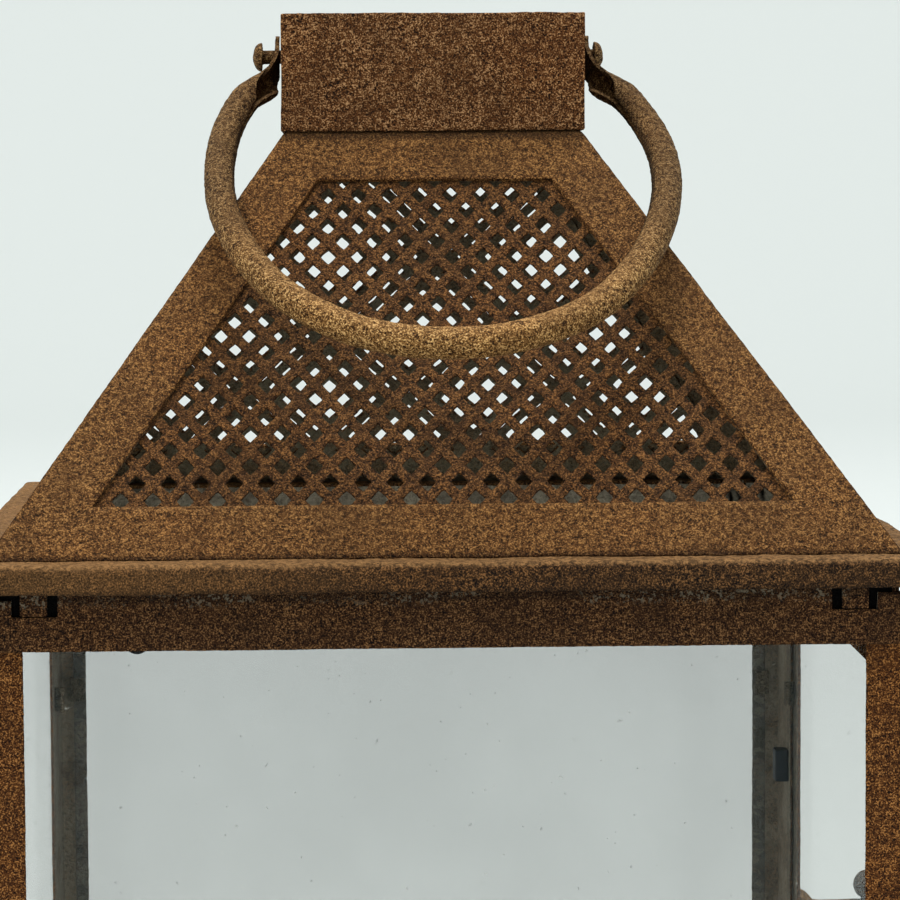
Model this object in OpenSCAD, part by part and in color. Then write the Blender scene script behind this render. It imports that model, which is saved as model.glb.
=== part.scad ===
// Hanging lantern of painted sheet steel with four glass sides, a hinged door on its right side,
// a pierced pyramid roof and a swinging bail.
// The origin is the centre of the flat underside. Z is up and the front faces -Y.

/* [Body] */
// Outer width and depth of the glazed body
body_w = 248; // [240:1:256]
// Outer width and depth of the base tray and of the eave
eave_w = 270; // [266:1:290]
// Height of the top face of the eave
eave_z = 310; // [290:1:360]
// Height of the base tray
base_h = 20; // [12:1:24]
// Thickness of the sheet that the frame is folded from
sheet = 1.2; // [1:0.1:1.2]
// Width of the corner posts on the front and back faces
post_face = 10; // [8:0.5:12]
// Width of the corner posts on the left and right faces
post_side = 30; // [28:1:32]
// Height of the window's lower edge
window_bottom = 44; // [34:1:60]
// Height of the top rails, from the window's upper edge to the eave
top_rail_h = 24.5; // [23:0.5:26]

/* [Roof] */
// Height of the roof from the eave to the collar
roof_rise = 116; // [108:1:124]
// Width of the roof where it meets the collar
roof_top_w = 86; // [84:1:87]
// Thickness of the roof panels
roof_sheet = 1.5; // [1.2:0.1:1.6]
// Height of the folded lip under the eave
lip_h = 8; // [7:0.5:9]
// Plain border above, below and beside the pierced window in each roof panel
border = 17; // [15:0.5:18]
// Distance between neighbouring holes of one row of the grille
hole_pitch = 8.8; // [8.4:0.1:9.4]
// Distance between neighbouring rows of the grille
row_pitch = 5.3; // [5.1:0.1:5.8]
// Width of one diamond hole of the grille
hole_w = 4.2; // [3.6:0.1:4.4]
// Height of one diamond hole of the grille
hole_h = 5; // [4.4:0.1:5.2]

/* [Collar and bail] */
// Outer width of the square collar
collar_w = 88; // [88:0.5:90]
// Height of the collar
collar_h = 34; // [30:1:40]
// Height of the bail's pivots below the collar's top
pivot_drop = 11; // [10:0.5:12]
// Radius of the bail's tube
bail_r = 4.4; // [3.5:0.1:4.5]
// Reach of the bail, from its pivots to the middle of its lowest point
bail_reach = 142; // [140:0.5:144]
// Lean of the resting bail, forward from straight down
bail_lean = 55; // [55:0.5:60]

/* [Door] */
// Width of the door's window
door_window_w = 176; // [170:1:178]
// Thickness of the glass panes
glass = 2.5; // [2:0.1:3]
// Height of the door knob
knob_z = 165; // [150:1:190]

/* [Hidden] */
$fn = 64;
rust = [0.45, 0.28, 0.14];
rust_dark = [0.32, 0.22, 0.15];
rust_light = [0.58, 0.42, 0.25];
clear = [0.8, 0.88, 0.86, 0.3];
black = [0.06, 0.06, 0.07];

body_half = body_w / 2;
inner_half = body_half - sheet;
eave_half = eave_w / 2;
window_half = body_half - post_face;
side_window_half = body_half - post_side;
window_top = eave_z - top_rail_h;
under_eave = eave_z - sheet;
lip_z = eave_z - lip_h;
far = 2 * eave_w;

// Base tray: the square hole in its top has a little room around the frame
base_gap = 0.3;

// Top rails: a notch near each end takes a roof tab, and the outer end stays just below the lip
notch_from = 104.5;
notch_to = 117;
notch_z = lip_z - 5.5;
rail_end_z = lip_z - 1.2;
tab_x = 111;
tab_w = 7.2;
tab_foot_gap = 0.2;

// Fixed panes overlap the frame on every side
pane_cover = 4;
pane_top = window_top + pane_cover;
pane_bottom = window_bottom - pane_cover;
pane_gap = 0.2;
clip_w = 8;
clip_t = 1;
clip_reach = 3.6;
clip_heights = [90, 240];
dot_r = 3.5;
dot_t = 1.5;
dot_x = 83.5;
dot_z_left = window_top + dot_r - 1.2;
dot_z_right = window_top + dot_r + 0.2;
gusset_leg = 27.5;
gusset_t = 1.2;
gusset_gap = 0.5;
gusset_z = window_top - gusset_leg / 2 + 0.6;

// Eave: the fold between flange and lip is round outside
fold_r = 2.2;
flange_inner = body_half - 8;

// Roof: each panel lies on a plane that leans in from the eave to the collar
roof_base_half = body_half + 0.2;
roof_top_half = roof_top_w / 2;
roof_run = roof_base_half - roof_top_half;
roof_slope = atan2(roof_rise, roof_run);
roof_length = sqrt(roof_run * roof_run + roof_rise * roof_rise);
roof_top_z = eave_z + roof_rise;
side_border_ratio = 1.12;
side_border = border * side_border_ratio;
grille_t = 1;
grille_cover = 6;
// The back grille is pierced a little out of step with the others
back_side = 2;
back_grille_shift = [-0.4, -3.3];
grille_rows = ceil((roof_length - 2 * border) / row_pitch);
grille_columns = ceil(roof_base_half / hole_pitch);

// Collar and bail
collar_half = collar_w / 2;
collar_top = roof_top_z + collar_h;
pivot_z = collar_top - pivot_drop;
shank_r = 2;
pivot_play = 0.08;
tab_gap = 1.4;
tab_t = 2;
tab_r = 6.2;
tab_neck_w = 7;
tab_neck_in = 5;
tab_neck_out = 6.4;
rivet_head_r = 4.2;
rivet_head_t = 2.7;
rivet_head_gap = 2.8;
rivet_foot_r = 3.2;
rivet_foot_t = 1.4;
bow_r = 57;
flank_r = 98;
bow_half_angle = 55;
joint_step = 0.03;
joint_overlap = 1;
bow_centre_y = -(bail_reach - bow_r);
flank_centre_x = -(flank_r - bow_r) * sin(bow_half_angle);
flank_centre_y = bow_centre_y + (flank_r - bow_r) * cos(bow_half_angle);
tube_end_y = -12;
flank_top_angle = acos((flank_centre_y - tube_end_y) / flank_r);

// Door: it lies over the right side of the body, and hangs from its front edge
door_gap = 0.3;
door_sheet = 1.5;
door_x = body_half + door_gap;
door_outer = door_x + door_sheet;
door_front = -(body_half - 14);
door_back = body_half - 4;
door_bottom = base_h + 4;
door_top = lip_z - 4;
door_window_half = door_window_w / 2;
door_window_bottom = window_bottom + 6;
door_window_top = window_top - 5.5;
door_pane_half = side_window_half - 1.7;
door_pane_bottom = window_bottom + 2;
door_pane_top = window_top - 2;
door_clip_t = 0.8;
knob_y = body_half - 19;
knob_ball_r = 5;
knob_ball_out = 7.6;
knob_reach = 25.4;
knob_stem_r = 2.6;
rosette_r = 6.8;
rosette_t = 6;
tenon_r = 1.5;
magnet = [4.6, 8, 10.5];
magnet_y = 94.3;
magnet_z = 210;

// Hinges: three knuckles each, the middle one on the door's leaf
hinge_heights = [80, 232];
hinge_h = 36;
knuckle_r = 2.6;
pin_r = 1.2;
pin_play = 0.05;
leaf_t = 1;
leaf_w = 10.5;
hinge_x = body_half + 3;
hinge_y = door_front - 3;
knuckle_gap = 0.3;
knuckle_h = hinge_h / 3;
leaf_rivet_r = 1.9;
leaf_rivet_t = 0.8;
leaf_rivet_offset = 11;
leaf_rivet_in = 6.5;
leaf_start = door_front + 0.6;
pin_head_r = 2;
pin_head_t = 1;

// A box with its lowest corner at a point
module box(at, size) {
    translate(at)
        cube(size);
}

// Turns what is drawn for the front to a side: 0 front, 1 right, 2 back, 3 left
module on_side(side) {
    rotate([0, 0, 90 * side])
        children();
}

// The quarter of space in front of both diagonals, between two heights
module front_wedge(bottom, top) {
    translate([0, 0, bottom])
        linear_extrude(top - bottom)
            polygon([[0, 0], [-far, -far], [far, -far]]);
}

module base_tray() {
    hole_half = body_half + base_gap;
    color(rust_dark)
        difference() {
            box([-eave_half, -eave_half, 0], [eave_w, eave_w, base_h]);
            box([-eave_half + sheet, -eave_half + sheet, sheet],
                [eave_w - 2 * sheet, eave_w - 2 * sheet, base_h - 2 * sheet]);
            box([-hole_half, -hole_half, base_h - 2 * sheet], [2 * hole_half, 2 * hole_half, far]);
        }
}

// One corner post, an angle with a narrow face flange and a wide side flange
module post(mirror_x, mirror_y) {
    scale([mirror_x, mirror_y, 1])
        color(rust)
            difference() {
                box([inner_half + sheet - post_face, -body_half, sheet],
                    [post_face, post_side, window_top - sheet]);
                box([0, -inner_half, 0], [inner_half, post_side, window_top + sheet]);
            }
}

module bottom_rail(side) {
    half = side % 2 == 0 ? window_half : side_window_half;
    color(rust)
        on_side(side)
            box([-half, -body_half, sheet], [2 * half, sheet, window_bottom - sheet]);
}

module top_rail(side) {
    half = side % 2 == 0 ? body_half : inner_half;
    outline = [[half, window_top], [half, rail_end_z], [notch_to, rail_end_z], [notch_to, notch_z],
        [notch_from, notch_z], [notch_from, under_eave]];
    mirrored = [for (i = [len(outline) - 1:-1:0]) [-outline[i][0], outline[i][1]]];
    color(rust_dark)
        on_side(side)
            translate([0, -inner_half, 0])
                rotate([90, 0, 0])
                    linear_extrude(sheet)
                        polygon(concat(outline, mirrored));
}

// Half the width of the pane on a side, and the face of the frame that it lies against
function pane_half(side) = (side % 2 == 0 ? window_half : side_window_half) + pane_cover;

module pane(side) {
    half = pane_half(side);
    color(clear)
        on_side(side)
            box([-half, -inner_half, pane_bottom], [2 * half, glass, pane_top - pane_bottom]);
}

// A bent clip, drawn for the right edge of the front pane: a leg beside the glass and a tongue over it
module pane_clip(edge, height) {
    leg_x = edge + pane_gap;
    box([leg_x, -inner_half, height - clip_w / 2], [clip_t, glass + clip_t, clip_w]);
    box([leg_x - clip_reach, -inner_half + glass, height - clip_w / 2],
        [clip_reach + clip_t, clip_t, clip_w]);
}

module pane_clips() {
    color(rust_dark)
        for (side = [0, 2, 3], height = clip_heights, hand = [-1, 1])
            on_side(side)
                scale([hand, 1, 1])
                    pane_clip(pane_half(side), height);
}

// A round dot of black rubber behind the pane that laps over its top edge
module pane_dot(height) {
    difference() {
        translate([0, -inner_half, height])
            rotate([-90, 0, 0])
                cylinder(r = dot_r, h = glass + dot_t);
        box([-2 * dot_r, -inner_half - sheet, pane_bottom],
            [4 * dot_r, glass + sheet, pane_top - pane_bottom]);
    }
}

module pane_dots() {
    color(black)
        for (side = [0, 2, 3], hand = [-1, 1])
            on_side(side)
                translate([hand * dot_x, 0, 0])
                    pane_dot(hand < 0 ? dot_z_left : dot_z_right);
}

// A triangular plate in one upper corner of the front frame, and the same on the back
module corner_gussets() {
    color(rust_dark)
        for (side = [0, 2])
            on_side(side)
                translate([0, -inner_half + glass + gusset_gap + gusset_t, 0])
                    rotate([90, 0, 0])
                        linear_extrude(gusset_t)
                            polygon([[inner_half, gusset_z], [inner_half, gusset_z + gusset_leg],
                                [inner_half - gusset_leg, gusset_z + gusset_leg]]);
}

// One side of the eave: a flat flange, a round fold and a lip, mitred at both ends
module eave(side) {
    fold_y = -eave_half + fold_r;
    fold_z = eave_z - fold_r;
    color(rust)
        on_side(side)
            intersection() {
                translate([eave_half, 0, 0])
                    rotate([90, 0, -90])
                        linear_extrude(eave_w)
                            union() {
                                translate([flange_inner, under_eave])
                                    square([-fold_y - flange_inner, sheet]);
                                translate([eave_half - sheet, lip_z])
                                    square([sheet, fold_z - lip_z]);
                                translate([-fold_y, fold_z])
                                    intersection() {
                                        difference() {
                                            circle(r = fold_r);
                                            circle(r = fold_r - sheet);
                                        }
                                        square(fold_r);
                                    }
                            }
                front_wedge(lip_z - sheet, eave_z + sheet);
            }
}

// Tabs under the eave that stand in the notches of the top rails
module roof_tabs() {
    color(rust_dark)
        for (side = [0:3], hand = [-1, 1])
            on_side(side)
                box([hand * tab_x - tab_w / 2, -body_half, notch_z + tab_foot_gap],
                    [tab_w, sheet, under_eave - notch_z - tab_foot_gap]);
}

// The plane of the front roof panel, with its origin at the middle of the panel's lower edge:
// X runs along the eave, Y up the slope and Z outward
module on_slope() {
    translate([0, -roof_base_half, eave_z])
        rotate([roof_slope, 0, 0])
            children();
}

// Half the width of the pierced window at a distance up the slope
function pierced_half(up) = roof_base_half - up * roof_run / roof_length - side_border;

// The outline of the pierced window, grown outward by a margin
module pierced_outline(grow) {
    low = border - grow;
    high = roof_length - border + grow;
    polygon([[-pierced_half(low) - grow, low], [pierced_half(low) + grow, low],
        [pierced_half(high) + grow, high], [-pierced_half(high) - grow, high]]);
}

module roof_panel(side) {
    spare = 10;
    color(rust)
        on_side(side)
            intersection() {
                on_slope()
                    translate([0, 0, -roof_sheet])
                        linear_extrude(roof_sheet)
                            difference() {
                                translate([-roof_base_half - spare, -spare])
                                    square([2 * (roof_base_half + spare), roof_length + 2 * spare]);
                                pierced_outline(0);
                            }
                front_wedge(eave_z, roof_top_z);
            }
}

// The outline of one hole of the grille, around its centre
module diamond() {
    polygon([[-hole_w / 2, 0], [0, -hole_h / 2], [hole_w / 2, 0], [0, hole_h / 2]]);
}

// The grille behind a roof panel: a plate with offset rows of diamond holes
module roof_grille(side) {
    shift = side == back_side ? back_grille_shift : [0, 0];
    first_row = border + hole_h / 2 + shift[1];
    color(rust_dark)
        on_side(side)
            on_slope()
                translate([0, 0, -roof_sheet - grille_t])
                    linear_extrude(grille_t)
                        difference() {
                            pierced_outline(grille_cover);
                            for (row = [0:grille_rows - 1], column = [-grille_columns:grille_columns]) {
                                up = first_row + row * row_pitch;
                                across = (column + (row % 2) / 2) * hole_pitch + shift[0];
                                if (abs(across) < pierced_half(up) + hole_w / 4)
                                    translate([across, up])
                                        diamond();
                            }
                        }
}

module collar() {
    inner = collar_half - sheet;
    color(rust_dark)
        difference() {
            box([-collar_half, -collar_half, roof_top_z], [collar_w, collar_w, collar_h]);
            box([-inner, -inner, roof_top_z - sheet], [2 * inner, 2 * inner, collar_h + 2 * sheet]);
            translate([-collar_w, 0, pivot_z])
                rotate([0, 90, 0])
                    cylinder(r = shank_r + pivot_play, h = 2 * collar_w);
        }
}

module collar_cap() {
    inner = collar_half - sheet;
    color(rust_dark)
        box([-inner, -inner, collar_top - sheet], [2 * inner, 2 * inner, sheet]);
}

// The bail in its own plane: the pivots lie on X, and it hangs along -Y.
// The flanks are a hair thinner than the bow between them and start just inside it.
module bail_flat() {
    translate([0, bow_centre_y, 0])
        rotate([0, 0, -90 - bow_half_angle])
            rotate_extrude(angle = 2 * bow_half_angle)
                translate([bow_r, 0])
                    circle(r = bail_r);
    for (hand = [0, 1])
        mirror([hand, 0, 0]) {
            translate([flank_centre_x, flank_centre_y, 0])
                rotate([0, 0, bow_half_angle - joint_overlap - 90])
                    rotate_extrude(angle = flank_top_angle - bow_half_angle + joint_overlap)
                        translate([flank_r, 0])
                            circle(r = bail_r - joint_step);
            bail_tab();
        }
}

// The flattened end of the tube: a round eye for the rivet, and a neck that runs into the tube
module bail_tab() {
    tab_x0 = collar_half + tab_gap;
    difference() {
        union() {
            translate([tab_x0, 0, 0])
                rotate([0, 90, 0])
                    cylinder(r = tab_r, h = tab_t);
            translate([tab_x0, 0, -tab_neck_w / 2])
                linear_extrude(tab_neck_w)
                    polygon([[0, 0], [tab_t, 0], [tab_t, -tab_r], [tab_neck_out, tube_end_y - tab_t],
                        [tab_neck_out, tube_end_y - tab_neck_w], [tab_neck_in, tube_end_y - tab_neck_w],
                        [0, -tab_neck_w]]);
        }
        translate([collar_half, 0, 0])
            rotate([0, 90, 0])
                cylinder(r = shank_r + pivot_play, h = 4 * tab_t);
    }
}

module bail() {
    color(rust_light)
        translate([0, 0, pivot_z])
            rotate([90 - bail_lean, 0, 0])
                bail_flat();
}

// A domed rivet through each side of the collar, upset inside
module bail_rivets() {
    foot_x = collar_half - sheet - rivet_foot_t;
    head_x = collar_half + tab_gap + tab_t + rivet_head_gap;
    dome_r = (rivet_head_r * rivet_head_r + rivet_head_t * rivet_head_t) / (2 * rivet_head_t);
    color(rust_light)
        for (hand = [0, 1])
            mirror([hand, 0, 0])
                translate([0, 0, pivot_z])
                    rotate([0, 90, 0]) {
                        translate([0, 0, foot_x])
                            cylinder(r = rivet_foot_r, h = rivet_foot_t);
                        translate([0, 0, foot_x])
                            cylinder(r = shank_r, h = head_x - foot_x + rivet_head_t / 2);
                        intersection() {
                            translate([0, 0, head_x])
                                cylinder(r = rivet_head_r, h = rivet_head_t);
                            translate([0, 0, head_x + rivet_head_t - dome_r])
                                sphere(r = dome_r);
                        }
                    }
}

module door_hinge_stile() {
    color(rust)
        box([door_x, door_front, door_bottom],
            [door_sheet, -door_window_half - door_front, door_top - door_bottom]);
}

module door_latch_stile() {
    color(rust)
        difference() {
            box([door_x, door_window_half, door_bottom],
                [door_sheet, door_back - door_window_half, door_top - door_bottom]);
            translate([door_x - sheet, knob_y, knob_z])
                rotate([0, 90, 0])
                    cylinder(r = tenon_r, h = door_sheet + 2 * sheet);
        }
}

module door_rail(bottom, top) {
    color(rust)
        box([door_x, -door_window_half, bottom], [door_sheet, door_window_w, top - bottom]);
}

module door_pane() {
    color(clear)
        box([door_x - glass, -door_pane_half, door_pane_bottom],
            [glass, 2 * door_pane_half, door_pane_top - door_pane_bottom]);
}

module door_clips() {
    leg_y = door_pane_half + pane_gap;
    inner_x = door_x - glass - door_clip_t;
    color(rust_dark)
        for (height = clip_heights, hand = [0, 1])
            mirror([0, hand, 0])
                translate([0, 0, height - clip_w / 2]) {
                    box([inner_x, leg_y, 0], [glass + door_clip_t, door_clip_t, clip_w]);
                    box([inner_x, leg_y - clip_reach, 0], [door_clip_t, clip_reach + door_clip_t, clip_w]);
                }
}

// A T-shaped knob: a domed rosette, a stem and an upright bar with a ball at each end
module door_knob() {
    color(rust_light)
        translate([door_outer, knob_y, knob_z])
            rotate([0, 90, 0]) {
                intersection() {
                    sphere(r = rosette_r);
                    cylinder(r = rosette_r, h = rosette_t);
                }
                cylinder(r = knob_stem_r, h = knob_reach);
                translate([-knob_ball_out, 0, knob_reach])
                    rotate([0, 90, 0])
                        cylinder(r = knob_stem_r, h = 2 * knob_ball_out);
                for (hand = [-1, 1])
                    translate([hand * knob_ball_out, 0, knob_reach])
                        sphere(r = knob_ball_r);
                translate([0, 0, -door_sheet])
                    cylinder(r = tenon_r, h = door_sheet);
            }
}

// The magnet that holds the door, glued behind the back right post
module door_magnet() {
    color(black)
        box([inner_half - magnet[0], magnet_y, magnet_z], magnet);
}

module knuckle(bottom, height) {
    translate([hinge_x, hinge_y, bottom])
        cylinder(r = knuckle_r, h = height);
}

module pin_bore(bottom) {
    translate([hinge_x, hinge_y, bottom - knuckle_h])
        cylinder(r = pin_r + pin_play, h = hinge_h + 2 * knuckle_h);
}

// The leaf on the post carries the outer two knuckles
module hinge_leaf_post(bottom) {
    color(rust_dark)
        difference() {
            union() {
                box([body_half, hinge_y - leaf_w, bottom], [leaf_t, leaf_w, hinge_h]);
                knuckle(bottom, hinge_h);
            }
            box([body_half - leaf_t, hinge_y - knuckle_r - knuckle_gap, bottom + knuckle_h - knuckle_gap],
                [4 * knuckle_r, 4 * knuckle_r, knuckle_h + 2 * knuckle_gap]);
            pin_bore(bottom);
        }
}

// The leaf on the door carries the middle knuckle
module hinge_leaf_door(bottom) {
    color(rust_dark)
        difference() {
            union() {
                box([door_outer, leaf_start, bottom], [leaf_t, leaf_w, hinge_h]);
                box([door_outer, hinge_y, bottom + knuckle_h], [leaf_t, leaf_w, knuckle_h]);
                knuckle(bottom + knuckle_h, knuckle_h);
            }
            pin_bore(bottom);
        }
}

module hinge_pin(bottom) {
    color(rust_light)
        translate([hinge_x, hinge_y, bottom]) {
            cylinder(r = pin_r, h = hinge_h);
            translate([0, 0, hinge_h])
                cylinder(r = pin_head_r, h = pin_head_t);
        }
}

// Round heads in two rows on one leaf of each hinge
module hinge_rivets(x, y) {
    color(rust_light)
        for (middle = hinge_heights, offset = [-leaf_rivet_offset, leaf_rivet_offset])
            translate([x, y, middle + offset])
                rotate([0, 90, 0])
                    cylinder(r = leaf_rivet_r, h = leaf_rivet_t);
}

base_tray();
post(-1, 1);  // post_front_left
post(1, 1);  // post_front_right
post(1, -1);  // post_back_right
post(-1, -1);  // post_back_left
bottom_rail(0);  // bottom_rail_front
bottom_rail(1);  // bottom_rail_right
bottom_rail(2);  // bottom_rail_back
bottom_rail(3);  // bottom_rail_left
top_rail(0);  // top_rail_front
top_rail(1);  // top_rail_right
top_rail(2);  // top_rail_back
top_rail(3);  // top_rail_left
pane(0);  // pane_front
pane(2);  // pane_back
pane(3);  // pane_left
pane_clips();
pane_dots();
corner_gussets();
eave(0);  // eave_front
eave(1);  // eave_right
eave(2);  // eave_back
eave(3);  // eave_left
roof_tabs();
roof_panel(0);  // roof_panel_front
roof_panel(1);  // roof_panel_right
roof_panel(2);  // roof_panel_back
roof_panel(3);  // roof_panel_left
roof_grille(0);  // roof_grille_front
roof_grille(1);  // roof_grille_right
roof_grille(2);  // roof_grille_back
roof_grille(3);  // roof_grille_left
collar();
collar_cap();
bail();
bail_rivets();
door_hinge_stile();
door_latch_stile();
door_rail(door_window_top, door_top);  // door_top_rail
door_rail(door_bottom, door_window_bottom);  // door_bottom_rail
door_pane();
door_clips();
door_knob();
door_magnet();
hinge_leaf_post(hinge_heights[1] - hinge_h / 2);  // hinge_leaf_post_upper
hinge_leaf_post(hinge_heights[0] - hinge_h / 2);  // hinge_leaf_post_lower
hinge_leaf_door(hinge_heights[1] - hinge_h / 2);  // hinge_leaf_door_upper
hinge_leaf_door(hinge_heights[0] - hinge_h / 2);  // hinge_leaf_door_lower
hinge_pin(hinge_heights[1] - hinge_h / 2);  // hinge_pin_upper
hinge_pin(hinge_heights[0] - hinge_h / 2);  // hinge_pin_lower
hinge_rivets(body_half + leaf_t, hinge_y - leaf_rivet_in);  // hinge_rivets_post
hinge_rivets(door_outer + leaf_t, door_front + leaf_rivet_in);  // hinge_rivets_door
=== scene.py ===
"""Looks of the hanging lantern: rust-coloured, sand-textured sheet steel around dusty panes of glass."""

import math

import bmesh
import bpy
import numpy as np
from mathutils import Matrix, Vector, noise


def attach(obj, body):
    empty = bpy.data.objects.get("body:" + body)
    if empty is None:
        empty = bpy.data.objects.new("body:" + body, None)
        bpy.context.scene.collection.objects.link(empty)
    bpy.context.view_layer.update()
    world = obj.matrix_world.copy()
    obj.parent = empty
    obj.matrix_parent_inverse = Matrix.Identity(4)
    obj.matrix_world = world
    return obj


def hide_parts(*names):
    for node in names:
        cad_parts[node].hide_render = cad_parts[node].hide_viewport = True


# The noise that roughens the meshes is seeded with the time unless a seed is set
noise.seed_set(1)

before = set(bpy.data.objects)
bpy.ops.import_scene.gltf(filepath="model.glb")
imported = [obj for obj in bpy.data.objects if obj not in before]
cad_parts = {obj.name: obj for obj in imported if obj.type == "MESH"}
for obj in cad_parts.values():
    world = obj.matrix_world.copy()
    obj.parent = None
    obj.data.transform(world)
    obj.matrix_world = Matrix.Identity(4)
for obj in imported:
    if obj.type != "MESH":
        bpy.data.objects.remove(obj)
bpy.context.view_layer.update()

MM = 0.001

# Sizes in millimetres, as the CAD has them, apart from those that a comment says are not
SHEET = 1.2
BODY = 124.0
INNER = BODY - SHEET
POST_FACE = 10.0
POST_SIDE = 30.0
WINDOW_LOW = 44.0
WINDOW_TOP = 285.5
EAVE = 135.0
EAVE_Z = 310.0
LIP_Z = 302.0
FOLD_R = 2.2
FLANGE_IN = 116.0
NOTCH_FROM = 104.5
NOTCH_TO = 117.0
# The notches and the rail ends are a little lower here than in the CAD
NOTCH_Z = 295.0
RAIL_END_Z = 299.5
TAB_X = 111.0
TAB_HALF = 3.6
# Half the length of the dark strip behind a notch, a sheet of painted shade which the CAD does not have
SHADOW_STRIP_HALF = 12.2
BASE_H = 20.0
BASE_HOLE = 124.3

ROOF_HALF = 124.2
ROOF_TOP_HALF = 43.0
ROOF_RISE = 116.0
ROOF_SHEET = 1.5
BORDER = 17.0
SIDE_BORDER = BORDER * 1.12
ROOF_RUN = ROOF_HALF - ROOF_TOP_HALF
ROOF_SLOPE = math.atan2(ROOF_RISE, ROOF_RUN)
ROOF_LENGTH = math.hypot(ROOF_RISE, ROOF_RUN)

HOLE_PITCH = 8.8
ROW_PITCH = 5.3
HOLE_W = 4.2
HOLE_H = 5.0
HOLE_ROWS = math.ceil((ROOF_LENGTH - 2 * BORDER) / ROW_PITCH)
GRILLE_T = 1.0
BACK_GRILLE_SHIFT = (-0.4, -3.3)
GRILLE_COVER = 6.0

COLLAR = 44.0
COLLAR_LOW = EAVE_Z + ROOF_RISE
COLLAR_TOP = COLLAR_LOW + 34.0
PIVOT_DROP = 11.0
PIVOT_Z = COLLAR_TOP - PIVOT_DROP

TUBE_R = 4.4
BOW_R = 57.0
FLANK_R = 98.0
BOW_ANGLE = math.radians(55)
BOW_Y = -85.0
FLANK_END = math.radians(113)
FLANK_X = -(FLANK_R - BOW_R) * math.sin(BOW_ANGLE)
FLANK_Y = BOW_Y + (FLANK_R - BOW_R) * math.cos(BOW_ANGLE)
BAIL_TILT = math.radians(35)
# How far the bail hangs to the right of the CAD bail, at its rivets and further below them
SWAY_AT_RIVETS = 1.2
SWAY_BELOW = 1.2
COLLAR_GAP = 0.6
TUBE_WALL = 1.15
EYE_R = 6.2
EYE_T = 2
EYE_GAP = 1.4
EYE_OUT = 3.4
EYE_START = -2.5
BEND_STEPS = 32

RIVET_FOOT_R = 3.2
RIVET_FOOT_T = 1.4
RIVET_SHANK_R = 2.0
RIVET_HEAD_R = 4.3
RIVET_HEAD_T = 2.6
RIVET_HEAD_GAP = 2.8

DOOR_X = BODY + 0.3
DOOR_SHEET = 1.5
DOOR_OUTER = DOOR_X + DOOR_SHEET
DOOR_FRONT = -110.0
DOOR_BACK = 120.0
DOOR_LOW = 24.0
DOOR_TOP = 298.0
DOOR_WINDOW = 88.0
DOOR_WINDOW_LOW = 50.0
DOOR_WINDOW_TOP = 280.0
KNOB_Y = 105.0
KNOB_Z = 165.0
KNOB_REACH = 25.4
BALL_R = 5.0
BALL_OUT = 7.6
ROSETTE_R = 6.8
TENON_R = 1.5
TENON_LENGTH = 1.4
MAGNET = (4.6, 8, 10.5)
MAGNET_Y = 94.3
MAGNET_Z = 210.0

# Spacing of the meshes, and the size and depth of the lumps in their surfaces
STEP = 0.9
GRAIN = 1.5
GRAIN_MOVE = 0.11
WAVE = 18.0
WAVE_MOVE = 0.12


# Camera: its place in metres, and its turns in radians

LENS = 138.615
CAMERA_PLACE = (-0.03386, -1.05231, 0.40977)
PAN = -0.0378
TILT = -0.0758
ROLL = 0.0056


def make_camera():
    """A long lens in front of the lantern, a little to its left and above the eave."""
    data = bpy.data.cameras.new("camera")
    data.sensor_width = 36
    data.lens = LENS
    data.clip_start = 0.05
    data.clip_end = 60
    camera = bpy.data.objects.new("camera", data)
    camera.location = CAMERA_PLACE
    turn = Matrix.Rotation(PAN, 3, "Z") @ Matrix.Rotation(TILT, 3, "X") @ Matrix.Rotation(ROLL, 3, "Y")
    camera.rotation_euler = (turn @ Matrix.Rotation(math.pi / 2, 3, "X")).to_euler()
    bpy.context.scene.collection.objects.link(camera)
    bpy.context.scene.camera = camera


make_camera()


# Materials

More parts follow.
